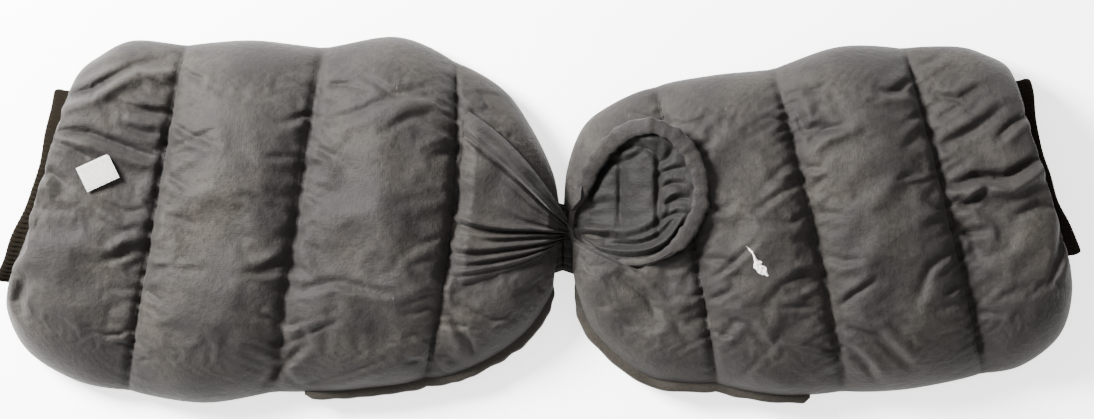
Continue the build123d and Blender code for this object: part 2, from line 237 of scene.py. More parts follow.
# the folds that the cloth has taken: points (u, v), depth, width, and which side rolls over
leftPod["folds"] = [
    ([(309, 30), (290, 40), (268, 58), (252, 64)], 7.0, 3.2, 0.9),
    ([(306, 40), (288, 54), (270, 62)], 3.0, 3.0, 0.7),
    ([(310, 10), (286, 13), (262, 8), (240, 4)], 6.0, 3.0, 0.9),
    ([(311, 6), (296, 4), (282, -1)], 4.0, 2.6, -0.7),
    ([(268, 21), (254, 19), (240, 20)], 3.4, 2.2, -0.8), ([(262, 32), (240, 33)], 2.2, 2.4, 0.7),
    ([(316, -16), (304, -14), (294, -20)], 6.0, 3.4, 0.7), ([(318, -34), (306, -36)], 3.5, 3.0, 0.6),
    ([(274, -26), (258, -30), (240, -26)], 3.5, 2.6, 0.7),
    ([(262, -58), (252, -52), (240, -48)], 5.0, 2.8, -0.7),
    ([(312, -78), (316, -92), (312, -102)], 7.0, 4.0, 0.5),
    ([(240, 26), (222, 20), (208, 18)], 2.6, 2.0, 0.7), ([(238, -4), (222, -10)], 2.6, 2.0, 0.7),
    ([(168, -126), (152, -104), (140, -92)], 4.5, 2.8, 0.7),
    ([(152, -122), (122, -110), (92, -94)], 3.6, 2.8, 0.8),
    ([(150, -60), (128, -52), (98, -54)], 1.8, 2.6, 0.7),
    ([(150, 40), (128, 50), (104, 66), (90, 72)], 2.2, 3.0, 0.8),
    ([(130, 70), (108, 62), (86, 66)], 1.8, 2.6, -0.7), ([(86, 56), (100, 50), (112, 40)], 2.2, 2.4, 0.7),
    ([(62, 74), (56, 64), (44, 58)], 2.0, 2.6, 0.6), ([(60, -62), (46, -76), (40, -88)], 2.8, 2.8, 0.7),
    ([(54, -56), (34, -62), (22, -58)], 2.2, 2.6, 0.6),
]
rightPod["folds"] = [
    ([(232, -24), (246, -22), (262, -26), (286, -18)], 9.0, 3.2, -1.0),
    ([(228, -34), (238, -36), (250, -30)], 6.0, 2.8, 0.8),
    ([(262, -50), (276, -46), (288, -50)], 3.0, 2.6, 0.7),
    ([(284, 8), (272, 4), (262, -2)], 3.6, 2.4, 0.8), ([(228, 0), (250, 6), (272, 16)], 3.6, 3.2, 0.8),
    ([(226, -44), (236, -56), (238, -70)], 4.5, 4.0, 0.6),
    ([(150, 48), (152, 26), (166, 27)], 4.0, 2.8, 0.8),
    ([(152, 18), (164, 24), (176, 24)], 3.4, 2.4, -0.8),
    ([(150, -92), (168, -102), (186, -126)], 4.0, 2.8, 0.8),
    ([(150, -104), (160, -118), (166, -132)], 3.4, 2.4, 0.7),
    ([(290, -58), (285, -78), (276, -92)], 4.0, 3.4, 0.7),
    ([(222, -62), (206, -70), (196, -88)], 2.2, 3.0, 0.7),
    ([(232, 30), (246, 26), (262, 30)], 3.0, 2.4, 0.7),
    ([(224, 44), (212, 38), (200, 40)], 2.2, 2.2, 0.7),
    ([(80, -70), (96, -80), (104, -96)], 2.2, 2.6, 0.7),
    ([(146, -20), (132, -26), (116, -22)], 1.8, 2.4, 0.7),
    ([(40, -52), (52, -66), (60, -84)], 2.2, 3.0, 0.6), ([(26, -34), (40, -52), (44, -66)], 3.0, 3.0, 0.7),
]


def nearestParam(pod, u, v):  # where on the muff's grid a plan point lies
    last = len(pod["ribs"]) - 1
    s, t = np.meshgrid(np.linspace(0, last, 160), np.linspace(0, 1, 120), indexing="ij")
    gu, gv = plan(pod, s, t)
    tree = KDTree(s.size)
    for i, point in enumerate(zip(gu.ravel(), gv.ravel())):
        tree.insert((point[0], point[1], 0), i)
    tree.balance()
    pick = np.array([tree.find((a, b, 0))[1] for a, b in zip(u.ravel(), v.ravel())])
    s, t = s.ravel()[pick].reshape(u.shape), t.ravel()[pick].reshape(u.shape)
    for _ in range(3):
        pu, pv = plan(pod, s, t)
        su, sv = plan(pod, s + 1e-3, t)
        tu, tv = plan(pod, s, t + 1e-3)
        a, b, c, d = (su - pu) * 1e3, (tu - pu) * 1e3, (sv - pv) * 1e3, (tv - pv) * 1e3
        det = a * d - b * c
        s = np.clip(s + ((u - pu) * d - (v - pv) * b) / det, 0, last)
        t = np.clip(t + ((v - pv) * a - (u - pu) * c) / det, 0, 1)
    return s, t


def newMesh(name, verts, faces, material):
    data = bpy.data.meshes.new(name)
    data.from_pydata([tuple(p) for p in verts], [], faces)
    data.validate()
    obj = bpy.data.objects.new(name, data)
    bpy.context.scene.collection.objects.link(obj)
    data.materials.append(material)
    data.polygons.foreach_set("use_smooth", [True] * len(data.polygons))
    return obj


def gridFaces(rows, cols, offset=0, flip=False, wrap=False):
    faces = []
    for i in range(rows - 1):
        for j in range(cols if wrap else cols - 1):
            k = (j + 1) % cols
            a, b, c, d = (offset + i * cols + j, offset + i * cols + k, offset + (i + 1) * cols + k,
                          offset + (i + 1) * cols + j)
            faces.append((a, d, c, b) if flip else (a, b, c, d))
    return faces


def closedPad(name, top, under, material, flip):  # two grids of one size, joined round their edge
    rows, cols = top.shape[:2]
    verts = np.vstack([top.reshape(-1, 3), under.reshape(-1, 3)])
    n = rows * cols
    faces = gridFaces(rows, cols, 0, flip) + gridFaces(rows, cols, n, not flip)
    loop = [j for j in range(cols)] + [i * cols + cols - 1 for i in range(1, rows)]
    loop += [(rows - 1) * cols + j for j in range(cols - 2, -1, -1)]
    loop += [i * cols for i in range(rows - 2, 0, -1)]
    for a, b in zip(loop, loop[1:] + loop[:1]):
        faces.append((a, n + a, n + b, b) if flip else (b, n + b, n + a, a))
    return newMesh(name, verts, faces, material)


def tube(name, path, width, height, material, turns=20, closed=False, ripple=None, up=(0, 0, 1)):
    # a tape or piping along the path: oval across, width by height in metres
    path = np.asarray(path, float)
    n = len(path)
    if closed:
        tangent = np.roll(path, -1, 0) - np.roll(path, 1, 0)
    else:
        tangent = np.gradient(path, axis=0)
    tangent /= np.linalg.norm(tangent, axis=1)[:, None]
    across = np.cross(np.array(up, float), tangent)
    across /= np.linalg.norm(across, axis=1)[:, None]
    over = np.cross(tangent, across)
    angles = np.linspace(0, 2 * math.pi, turns, endpoint=False)
    c, s = np.cos(angles), np.sin(angles)
    c, s = np.sign(c) * np.abs(c) ** 0.75, np.sign(s) * np.abs(s) ** 0.75
    size = np.ones((n, turns)) if ripple is None else ripple
    ring = path[:, None] + size[..., None] * (across[:, None] * (c * width / 2)[None, :, None]
                                              + over[:, None] * (s * height / 2)[None, :, None])
    faces = gridFaces(n, turns, wrap=True)
    if closed:
        last = (n - 1) * turns
        for j in range(turns):
            k = (j + 1) % turns
            faces.append((last + j, last + k, k, j))
    else:
        faces.append(tuple(range(turns - 1, -1, -1)))
        faces.append(tuple((n - 1) * turns + j for j in range(turns)))
    return newMesh(name, ring.reshape(-1, 3), faces, material)


def resample(points, count, closed=False):
    pts = np.asarray(points, float)
    if closed:
        pts = np.vstack([pts, pts[:1]])
    dist = np.concatenate([[0], np.cumsum(np.linalg.norm(np.diff(pts, axis=0), axis=1))])
    at = np.linspace(0, dist[-1], count, endpoint=not closed)
    return np.stack([np.interp(at, dist, pts[:, k]) for k in range(pts.shape[1])], axis=1)


def linear(hexColour):  # sRGB hex to a linear colour
    parts = [int(hexColour[i:i + 2], 16) / 255 for i in (1, 3, 5)]
    return tuple(c / 12.92 if c <= 0.04045 else ((c + 0.055) / 1.055) ** 2.4 for c in parts) + (1.0,)


def addNode(tree, kind, settings=None, links=None):
    node = tree.nodes.new(kind)
    for key, value in (settings or {}).items():
        if isinstance(key, int) or key in node.inputs:
            node.inputs[key].default_value = value
        else:
            setattr(node, key, value)
    for key, source in (links or {}).items():
        tree.links.new(source, node.inputs[key])
    return node


def startMaterial(name, colour, roughness, sheen=0.0, gloss=0.3):
    material = bpy.data.materials.new(name)
    material.use_nodes = True
    tree = material.node_tree
    shader = tree.nodes["Principled BSDF"]
    shader.inputs["Base Color"].default_value = linear(colour)
    shader.inputs["Roughness"].default_value = roughness
    shader.inputs["Sheen Weight"].default_value = sheen
    shader.inputs["Sheen Roughness"].default_value = 0.45
    shader.inputs["Specular IOR Level"].default_value = gloss
    shader.inputs["IOR"].default_value = 1.3  # cloth mirrors little, even at a flat angle
    return material, tree, shader


shellLook = {"colour": "#211f1e", "dust": "#36322d", "dark": "#171615", "roughness": 0.6, "threadMm": 0.7,
             "lint": "#8d8981", "lintStreaks": 0.3}


def shellFabric(name, look, grain=1.0):
    # plain-weave nylon over wadding: low sheen, rubbed and dusty on its high parts
    material, tree, shader = startMaterial(name, look["colour"], look["roughness"], 0.03, 0.2)
    place = addNode(tree, "ShaderNodeTexCoord").outputs["Object"]
    cloudy = addNode(tree, "ShaderNodeTexNoise", {"Scale": 28.0, "Detail": 5.0, "Roughness": 0.62},
                     {"Vector": place})
    mottle = addNode(tree, "ShaderNodeTexNoise", {"Scale": 260.0, "Detail": 4.0, "Roughness": 0.7},
                     {"Vector": place})
    streakPlace = addNode(tree, "ShaderNodeMapping", {"Scale": (900.0, 55.0, 300.0), "Rotation": (0, 0, 0.5)},
                          {"Vector": place})
    streaks = addNode(tree, "ShaderNodeTexNoise", {"Scale": 1.0, "Detail": 3.0, "Roughness": 0.6},
                      {"Vector": streakPlace.outputs[0]})
    # dust in clouds, then dark mottling, then streaks of lint, each mixed over the one before
    colour = None
    layers = [(cloudy, "dust", 0.42, 0.78, 0.0, 0.75), (mottle, "dark", 0.35, 0.6, 0.55, 0.0),
              (streaks, "lint", 0.72, 0.82, 0.0, look["lintStreaks"])]
    for source, shade, fromMin, fromMax, toMin, toMax in layers:
        ramp = addNode(tree, "ShaderNodeMapRange", {"From Min": fromMin, "From Max": fromMax, "To Min": toMin,
                                                    "To Max": toMax}, {"Value": source.outputs[0]})
        mix = addNode(tree, "ShaderNodeMix", {"data_type": "RGBA", 7: linear(look[shade])},
                      {0: ramp.outputs[0]})
        if colour is None:
            mix.inputs[6].default_value = linear(look["colour"])
        else:
            tree.links.new(colour, mix.inputs[6])
        colour = mix.outputs[2]
    tree.links.new(colour, shader.inputs["Base Color"])
    # threads: the real ones are about 0.25 mm wide, drawn 0.7 mm wide and as far apart so that they show
    # (a wave texture of scale 1 has half waves of about 1 / 6.3)
    weaveScale = 1000.0 / look["threadMm"] / 6.3
    warp = addNode(tree, "ShaderNodeTexWave", {"Scale": weaveScale, "Distortion": 1.2, "Detail": 1.0},
                   {"Vector": place})
    weft = addNode(tree, "ShaderNodeTexWave", {"Scale": weaveScale, "Distortion": 1.2, "Detail": 1.0,
                                               "bands_direction": "Y"}, {"Vector": place})
    weave = addNode(tree, "ShaderNodeMath", {"operation": "MULTIPLY"},
                    {0: warp.outputs[1], 1: weft.outputs[1]})
    fine = addNode(tree, "ShaderNodeBump", {"Strength": 0.12 * grain, "Distance": 0.0004},
                   {"Height": weave.outputs[0]})
    broad = addNode(tree, "ShaderNodeBump", {"Strength": 0.5 * grain, "Distance": 0.0016},
                    {"Height": mottle.outputs[0], "Normal": fine.outputs[0]})
    tree.links.new(broad.outputs[0], shader.inputs["Normal"])
    low, high = look["roughness"] - 0.12, look["roughness"] + 0.18
    rough = addNode(tree, "ShaderNodeMapRange", {"To Min": low, "To Max": high}, {"Value": mottle.outputs[0]})
    tree.links.new(rough.outputs[0], shader.inputs["Roughness"])
    return material


def clothLike(name, colour, second, roughness, sheen, scale, strength, distance, gloss=0.3):
    # a plain textile or wadding: two close shades broken up at the given scale, with matching relief
    material, tree, shader = startMaterial(name, colour, roughness, sheen, gloss)
    place = addNode(tree, "ShaderNodeTexCoord").outputs["Object"]
    pile = addNode(tree, "ShaderNodeTexNoise", {"Scale": scale, "Detail": 5.0, "Roughness": 0.7},
                   {"Vector": place})
    ramp = addNode(tree, "ShaderNodeMapRange", {"From Min": 0.35, "From Max": 0.65},
                   {"Value": pile.outputs[0]})
    shade = addNode(tree, "ShaderNodeMix", {"data_type": "RGBA", 6: linear(colour), 7: linear(second)},
                    {0: ramp.outputs[0]})
    tree.links.new(shade.outputs[2], shader.inputs["Base Color"])
    bump = addNode(tree, "ShaderNodeBump", {"Strength": strength, "Distance": distance},
                   {"Height": pile.outputs[0]})
    tree.links.new(bump.outputs[0], shader.inputs["Normal"])
    return material


nylon = shellFabric("plainWeaveNylon", shellLook)
# the same cloth, darker and with less dust: painted shade for the deep gathers at the waist; the tongue is
# drawn in it too
darkNylonPaintedShade = shellFabric("darkNylonPaintedShade", dict(shellLook, colour="#171615", dust="#282522", dark="#0f0f0e"))
# brushed knit: soft and matt
fleece = clothLike("shortPileFleece", "#2b2a2b", "#3c3b3c", 0.9, 0.1, 900.0, 0.7, 0.001)
# woven tape, folded and pressed: a little smoother than the knit
bindingTape = clothLike("foldedBindingTape", "#1b1916", "#29251f", 0.65, 0.03, 700.0, 0.6, 0.0006)
# knitted over rubber: nearly black, with no shine
ribElastic = clothLike("ribbedElastic", "#0d0b08", "#15120e", 1.0, 0.0, 1200.0, 0.5, 0.0005, 0.02)
# moulded hooks and cut loops: rough and matt
gripTape = clothLike("hookAndLoopTape", "#1f1f1f", "#2e2e2e", 0.9, 0.05, 1500.0, 1.0, 0.0008)
# flat woven nylon: a fine even grain
webTape = clothLike("wovenWebbing", "#262524", "#33312f", 0.75, 0.03, 1000.0, 0.6, 0.0005)
# spun polyester: a faint gloss
sewingThread = clothLike("sewingThread", "#1d1b1a", "#141212", 0.55, 0.02, 2500.0, 0.3, 0.0002)
# moulded soft rubber: smooth, with a low gloss
patchRubber = clothLike("softPatchRubber", "#a9a7a1", "#97958f", 0.5, 0.0, 500.0, 0.25, 0.0003)
# carded fibre: white and fuzzy
wadding = clothLike("polyesterWadding", "#e4e2de", "#bdbab4", 0.95, 0.3, 500.0, 1.0, 0.002)
print("materials made")


def spread(count):  # closer together near both edges
    return 0.5 - 0.5 * np.cos(np.linspace(0, math.pi, count))


def hingeZone(pod):
    (u0, v0), (u1, v1) = pod["hinge"]
    mid = np.array([(u0 + u1) / 2, (v0 + v1) / 2])
    normal = np.array([v0 - v1, -(u0 - u1)]) / math.hypot(u0 - u1, v0 - v1)
    if flapSide(pod, *(mid + normal)) < 0:
        normal = -normal
    start, end = mid - normal * 4, mid + normal * 20
    height = jointOf[pod["name"] + "_flap_open"]["pos_m"][2] / mm
    return toRow(pod, start[0], start[1], height), toRow(pod, end[0], end[1], height)


clothLook = {"rows": 150, "across": 100, "frames": 18, "pressure": 2.4, "spare": -0.022, "bending": 1.2,
             "cap": 3.0}


def settle(pod, place):
    # a short cloth simulation: the cover has spare cloth between its seams, which are held still, and the
    # wadding pushes it out, so that it buckles. Returns how far each point of the fine grid moves, in metres.
    last = len(pod["ribs"]) - 1
    rows, cols = clothLook["rows"], clothLook["across"]
    lines = np.linspace(0, last, rows)
    s, t = np.meshgrid(lines, spread(cols), indexing="ij")
    u, v = plan(pod, s, t)
    rest = toRow(pod, u, v, padTop(pod, s, t, u, v))
    sheet = newMesh("coverSheet", rest.reshape(-1, 3), gridFaces(rows, cols, flip=pod["side"] < 0), nylon)
    x = np.abs(2 * t - 1)
    held = smooth((x - 0.62) / 0.25)
    for seam in [0, last] + pod["seams"]:
        held = np.maximum(held, np.abs(s - seam) < 0.6 * last / rows)
    for (cu, cv), reach in pod["covered"]:  # under the strap, tongue, tag and tear the cloth can't swell
        held = np.maximum(held, smooth(1.6 - np.hypot(u - cu, v - cv) / reach * 1.3))
    group = sheet.vertex_groups.new(name="held")
    for i, weight in enumerate(held.ravel()):
        if weight > 0.01:
            group.add([i], float(weight), "REPLACE")
    cloth = sheet.modifiers.new("cover", "CLOTH")
    fabric = cloth.settings
    fabric.quality, fabric.mass, fabric.vertex_group_mass = 6, 0.12, "held"
    fabric.tension_stiffness = fabric.compression_stiffness = 14
    fabric.shear_stiffness, fabric.bending_stiffness = 4, clothLook["bending"]
    fabric.use_pressure, fabric.uniform_pressure_force = True, clothLook["pressure"]
    fabric.shrink_min = clothLook["spare"]
    fabric.effector_weights.gravity = 0
    cloth.collision_settings.use_self_collision = False
    scene = bpy.context.scene
    for f in range(1, clothLook["frames"] + 1):
        scene.frame_set(f)
    shaped = sheet.evaluated_get(bpy.context.evaluated_depsgraph_get())
    moved = np.array([p.co for p in shaped.data.vertices]).reshape(rest.shape) - rest
    scene.frame_set(1)
    bpy.data.meshes.remove(sheet.data)  # takes the sheet with it
    far = np.linalg.norm(moved, axis=-1, keepdims=True)
    cap = clothLook["cap"] * mm
    moved *= np.where(far > 1e-9, cap * np.tanh(far / cap) / np.maximum(far, 1e-9), 1)
    print("cover settled, largest move", round(float(np.abs(moved).max() / mm), 1), "mm")
    # carried over to the finer grid, first along the ribs and then across
    fineLines, fineAcross = np.linspace(0, last, place.shape[0]), np.linspace(0, 1, place.shape[1])
    once = curveThrough(moved.reshape(rows, -1), fineLines / last * (rows - 1))
    once = once.reshape(len(fineLines), cols, 3)
    twice = curveThrough(once.transpose(1, 0, 2).reshape(cols, -1), fineAcross * (cols - 1))
    return twice.reshape(len(fineAcross), len(fineLines), 3).transpose(1, 0, 2)


leftPod["covered"] = [((40, 8), 40), ((62, 30), 24), ((60, -14), 24), ((277, -9), 24)]
rightPod["covered"] = [((44, 8), 44), ((108, -44), 13)]


def makeFront(pod):
    last = len(pod["ribs"]) - 1
    s, t = np.meshgrid(np.linspace(0, last, padShape["rows"]), spread(padShape["across"]), indexing="ij")
    u, v = plan(pod, s, t)
    z = padTop(pod, s, t, u, v)
    x = np.abs(2 * t - 1)
    lift = padShape["flapLift"] * smooth(flapSide(pod, u, v) / 12)
    under = padShape["rimFront"] + lift + (crownOf(pod, s) - padShape["padUnder"]) * (1 - x**2.4) ** 0.72
    top = toRow(pod, u, v, z)
    top = top + settle(pod, top)
    pad = closedPad(pod["name"] + "_front_quilt", top, toRow(pod, u, v, under), nylon, pod["side"] < 0)
    start, end = hingeZone(pod)
    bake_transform(pad)
    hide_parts(*[f"{pod['name']}_{part}" for part in ("front_cover", "front_padding", "flap_cover",
                                                           "flap_padding")])

    step = 3
    lined = toRow(pod, u[::step, ::step], v[::step, ::step], under[::step, ::step] - 0.3)
    backed = lined - np.array([0, 0, 1.0 * mm])
    lining = closedPad(pod["name"] + "_front_lining_face", lined, backed, fleece, pod["side"] < 0)
    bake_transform(lining)
    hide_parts(pod["name"] + "_front_lining", pod["name"] + "_flap_lining")
    return start, end


def makeBack(pod):
    last = len(pod["ribs"]) - 1
    lines = np.linspace(0, last, padShape["backRows"])
    s, t = np.meshgrid(lines, spread(padShape["backAcross"]), indexing="ij")
    u, v = plan(pod, s, t)
    x = np.abs(2 * t - 1)
    rim = padShape["rimBack"]
    edges = [0] + pod["seams"] + [last]
    bump = np.zeros(s.shape)
    for a, b in zip(edges[:-1], edges[1:]):
        inside = (s >= a) & (s <= b)
        bump = np.where(inside, np.sin(math.pi * np.clip((s - a) / (b - a), 0, 1)) ** 0.35, bump)
    z = rim - (rim - 5) * (1 - x**8) ** 0.5 - 5.0 * bump * (1 - x**8) ** 0.5
    z += np.clip(0.5 * softField(u, v, 30, pod["seed"] + 3), 0, 1) * (1 - x**6)
    top = rim - 0.6 + 0 * z
    top = np.where(x > 0.999, z, top)
    under = toRow(pod, u, v, np.maximum(z, 0.0))
    pad = closedPad(pod["name"] + "_back_quilt", toRow(pod, u, v, top), under, nylon, pod["side"] < 0)
    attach(pad, pod["body"])
    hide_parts(pod["name"] + "_back_cover", pod["name"] + "_back_padding")
    inset = t[::2, ::2] * 0.985 + 0.0075
    lu, lv = plan(pod, np.clip(s[::2, ::2], 0.05, last - 0.02), inset)
    face = toRow(pod, lu, lv, 0 * lu + rim + 0.5)
    lining = closedPad(pod["name"] + "_back_lining_face", face, face - np.array([0, 0, 1.0 * mm]), fleece,
                       pod["side"] < 0)
    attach(lining, pod["body"])
    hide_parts(pod["name"] + "_back_lining")


cuffLook = {"ribs": 84, "ribDepth": 1.1, "hollow": 3.0}


def makeCuff(pod):
    last = float(len(pod["ribs"]) - 1)
    t = spread(90)
    u, v = plan(pod, np.full(t.shape, last), t)
    x = np.abs(2 * t - 1)
    front = padShape["rimFront"] + crownOf(pod, np.full(t.shape, last)) * (1 - x**2.4) ** 0.72
    ring = np.vstack([np.stack([u, v, front], 1), np.stack([u, v, 10.5 + 0 * u], 1)[::-1][1:-1]])
    ring = resample(ring, 420, closed=True)
    n = len(ring)
    middle = ring.mean(0)
    rows = []
    phase = np.linspace(0, 2 * math.pi, n, endpoint=False)
    depth = cuffLook["ribDepth"] * (0.5 + 0.5 * np.cos(phase * cuffLook["ribs"]))
    sway = 0.5 * softField(phase * 30, 0 * phase, 26, pod["seed"] + 40)
    # outside from the panel outwards, over the rolled lip and back in along the inside
    profile = [(-3.0, 0.0), (0.0, -0.4), (2.5, -0.8), (5.0, -0.9), (7.5, -0.6), (9.5, -0.9), (10.6, -1.8),
               (10.2, -3.0), (8.0, -3.6), (5.0, -3.6), (2.0, -3.4), (-3.0, -3.2), (-8.0, -3.4)]
    for out, inward in profile:
        toward = ring[:, 1:] - middle[1:]
        length = np.linalg.norm(toward, axis=1)[:, None]
        amount = inward - depth * (1.0 if out > 0 else 0.3)
        yz = ring[:, 1:] + toward / length * amount[:, None]
        # the mouth is pulled in between its ends
        hollow = cuffLook["hollow"] * np.sin(math.pi * np.interp(ring[:, 1], [v.min(), v.max()], [0, 1]))
        uu = ring[:, 0] + out + (sway if out > 4 else 0) - hollow * smooth(out / 8)
        rows.append(toRow(pod, uu, yz[:, 0], yz[:, 1]))
    grid = np.array(rows)
    faces = gridFaces(len(rows), n, wrap=True, flip=pod["side"] > 0)
    cuff = newMesh(pod["name"] + "_cuff_rib", grid.reshape(-1, 3), faces, ribElastic)
    thick = cuff.modifiers.new("thick", "SOLIDIFY")
    thick.thickness, thick.offset = 0.0006, 0
    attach(cuff, pod["body"])
    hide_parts(pod["name"] + "_cuff_elastic")


bindingLook = {"width": 8.6, "thick": 3.4, "out": 0.3, "height": 17.0, "backWidth": 9.6, "backThick": 3.2,
               "backHeight": 10.9}


def makeBindings(pod):
    # the bound edges run from the waist end round the lower corner, to the end of the flap
    stop = 5.6 if pod["side"] < 0 else 5.5
    s = np.linspace(0.15, stop, 200)
    u, v = plan(pod, s, np.zeros(s.shape))
    du, dv = np.gradient(u), np.gradient(v)
    length = np.hypot(du, dv)
    out = bindingLook["out"] * smooth((s - 0.1) / 1.6) - 2.5 * (1 - smooth((s - 0.1) / 1.6))
    u, v = u + dv / length * out, v - du / length * out
    wobble = 0.5 * softField(u, v, 26, pod["seed"] + 60)
    ripple = 1 + 0.07 * softField(np.linspace(0, 150, 200), 0 * s, 9, pod["seed"] + 61)
    ripple = ripple[:, None] * np.ones((1, 20))
    ripple *= (0.3 + 0.7 * smooth((s - 0.1) / 1.6) * smooth((stop - s) / 0.12 + 0.1))[:, None]
    flap = tube(pod["name"] + "_flap_bound_edge", toRow(pod, u, v, bindingLook["height"] + wobble),
                bindingLook["width"] * mm, bindingLook["thick"] * mm, bindingTape, ripple=ripple)
    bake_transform(flap)
    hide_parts(pod["name"] + "_flap_binding")
    path = toRow(pod, u, v, bindingLook["backHeight"] - wobble * 0.5)
    back = tube(pod["name"] + "_back_bound_edge", path, bindingLook["backWidth"] * mm,
                bindingLook["backThick"] * mm, webTape, ripple=ripple)
    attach(back, pod["body"])
    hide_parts(pod["name"] + "_back_binding")


stitchLook = {"pitch": 4.2, "long": 2.8, "thick": 0.8, "step": 0.7}


def makeStitches(pod):
    groups = {"stay": [], "flap": []}
    step, thick = stitchLook["step"], stitchLook["thick"] * mm
    per, points = round(stitchLook["pitch"] / step), round(stitchLook["long"] / step) + 1
    for edge in pod["seams"]:
        t = np.linspace(0.04, 0.96, 400)
        s = np.full(t.shape, float(edge))
        u, v = plan(pod, s, t)
        z = padTop(pod, s, t, u, v) + 0.25
        line = resample(np.stack([u, v, z], 1), int(np.hypot(np.diff(u), np.diff(v)).sum() / step))
        for i in range(0, len(line) - per, per):
            part = line[i:i + points]
            where = "flap" if flapSide(pod, *part[2][:2]) > 0 else "stay"
            groups[where].append(toRow(pod, part[:, 0], part[:, 1], part[:, 2]))
    for where, parts in groups.items():
        verts, faces = [], []
        for path in parts:
            one = tube("scratchStitch", path, thick, thick, sewingThread, turns=6)
            offset = len(verts)
            verts += [tuple(p.co) for p in one.data.vertices]
            faces += [tuple(offset + i for i in f.vertices) for f in one.data.polygons]
            bpy.data.meshes.remove(one.data)
        if not verts:
            continue
        name = "quilting_stitches" if where == "stay" else "flap_stitches"
        rows = newMesh(f"{pod['name']}_{name}_sewn", verts, faces, sewingThread)
        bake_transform(rows)
        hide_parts(f"{pod['name']}_{name}")


for pod in (leftPod, rightPod):
    start, end = makeFront(pod)
    makeBack(pod)
    makeCuff(pod)
    makeBindings(pod)
    makeStitches(pod)
    print(pod["name"], "muff made")

strapLook = {"sewn": [(70, 62), (68, 36), (66, 8), (65, -18), (64, -46)],
             "knot": [(-2, 6), (-3, 2), (-4, -2), (-3, -6), (-2, -10)],
             "thick": 5.0, "above": 7.0, "low": 23.0}


def makeStrap():
    pod = leftPod
    rows, cols = 120, 130
    a, t = np.meshgrid(np.linspace(0, 1, rows), spread(cols), indexing="ij")
    sewn = curveThrough(strapLook["sewn"], t * 4)
    knot = curveThrough(strapLook["knot"], t * 4)
    w = a[..., None]
    bow = np.sin(math.pi * a) * (0.5 - t) * 14
    p = sewn * (1 - w) + knot * w
    u, v = p[..., 0], p[..., 1] + bow
    x = np.abs(2 * t - 1)
    s = nearestParam(pod, u, v)[0]
    z = softField(u, v, 70, 5) + padShape["rimFront"] + crownOf(pod, s) + padShape["fill"]
    z = np.maximum(z + strapLook["above"] * smooth(a * 6), strapLook["low"] + 4)
    z = z * (1 - smooth((a - 0.8) * 5)) + strapLook["low"] * smooth((a - 0.8) * 5)
    z -= 5.0 * np.exp(-(a * 68 / 2.2) ** 2)  # down into the seam where it is sewn on
    folds = np.zeros(u.shape)
    # (place across where sewn, place at the knot, width, depth, where it starts)
    for first, last, width, depth, begins in ((0.13, 0.33, 0.022, 6.0, 0.0), (0.22, 0.42, 0.026, 2.0, 0.45),
                                              (0.34, 0.50, 0.030, 2.2, 0.6), (0.48, 0.56, 0.030, 2.4, 0.5),
                                              (0.65, 0.63, 0.017, 7.5, 0.0), (0.73, 0.71, 0.020, 3.0, 0.25),
                                              (0.81, 0.79, 0.017, 4.2, 0.0), (0.885, 0.87, 0.015, 3.4, 0.15),
                                              (0.945, 0.93, 0.014, 2.6, 0.0)):
        drift = first + (last - first) * a + 0.012 * np.sin(a * 6 + first * 9)
        strength = depth * smooth((a - begins) * 3 + 0.4)
        folds -= strength * np.exp(-((t - drift) / width) ** 2)
        folds += 0.75 * strength * np.exp(-((t - drift + 2.1 * width) / (1.7 * width)) ** 2)
    gathers = softField(t * 100, 4 * a, 7, 71) * (0.15 + 1.1 * a**2)
    ripple = softField(t * 100 + 8 * a, 0 * t, 5, 77) * 0.9 * np.exp(-a * 7)
    ripple = ripple * (1 + 0.8 * smooth((t - 0.6) / 0.1)) + 0.6 * softField(u, v, 17, 6)
    z += (folds + gathers + ripple) * (1 - x**8)
    z -= 7.0 * x**12
    under = z - strapLook["thick"] - 6.0 * (1 - x**6)
    strap = closedPad("bridge_strap", toRow(pod, u, v, z), toRow(pod, u, v, under), nylon, False)
    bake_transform(strap)
    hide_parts("strap_cover", "strap_padding")


# points (u, v), depth, width, and which side rolls over; the first two are the rows of stitching
tongueFolds = [
    ([(42, 33), (38, 12), (33, -8)], 3.0, 2.2, 0.01), ([(65, 35), (60, 10), (54, -16)], 3.4, 2.2, 0.01),
    ([(4, 1), (14, 12), (24, 25), (38, 37), (52, 42)], 8.0, 4.4, 0.25),
    ([(5, -5), (18, -9), (30, -12)], 4.5, 2.6, 0.8), ([(4, -3), (14, -1), (28, -5)], 3.0, 2.2, -0.7),
    ([(4, -7), (20, -15), (38, -19), (55, -17), (68, -8)], 4.4, 2.4, 0.9),
    ([(5, -9), (20, -20), (40, -26), (60, -23), (74, -9)], 4.6, 1.8, 1.1),
    ([(4, -8), (20, -24), (40, -29), (56, -28)], 3.2, 1.6, 1.1),
    ([(6, -4), (20, -11), (40, -14), (56, -10), (68, 2)], 3.4, 2.2, 0.9),
    ([(30, -16), (44, -21), (58, -19)], 2.4, 1.6, 0.7), ([(8, 5), (18, 9), (30, 9)], 2.4, 2.2, 0.7),
    ([(34, 33), (46, 31), (58, 35)], 3.2, 2.2, 0.8), ([(44, 38), (56, 37), (66, 28)], 3.0, 2.4, 0.7),
    ([(64, 24), (70, 28), (74, 33)], 2.4, 2.0, 0.6), ([(62, 10), (68, 12), (76, 10)], 2.0, 1.5, 0.8),
    ([(61, 0), (69, 3), (77, 1)], 2.2, 1.5, 0.8), ([(60, 18), (68, 20), (78, 20)], 1.8, 1.4, 0.7),
    ([(57, -9), (66, -6), (74, -7)], 2.0, 1.5, 0.7),
]


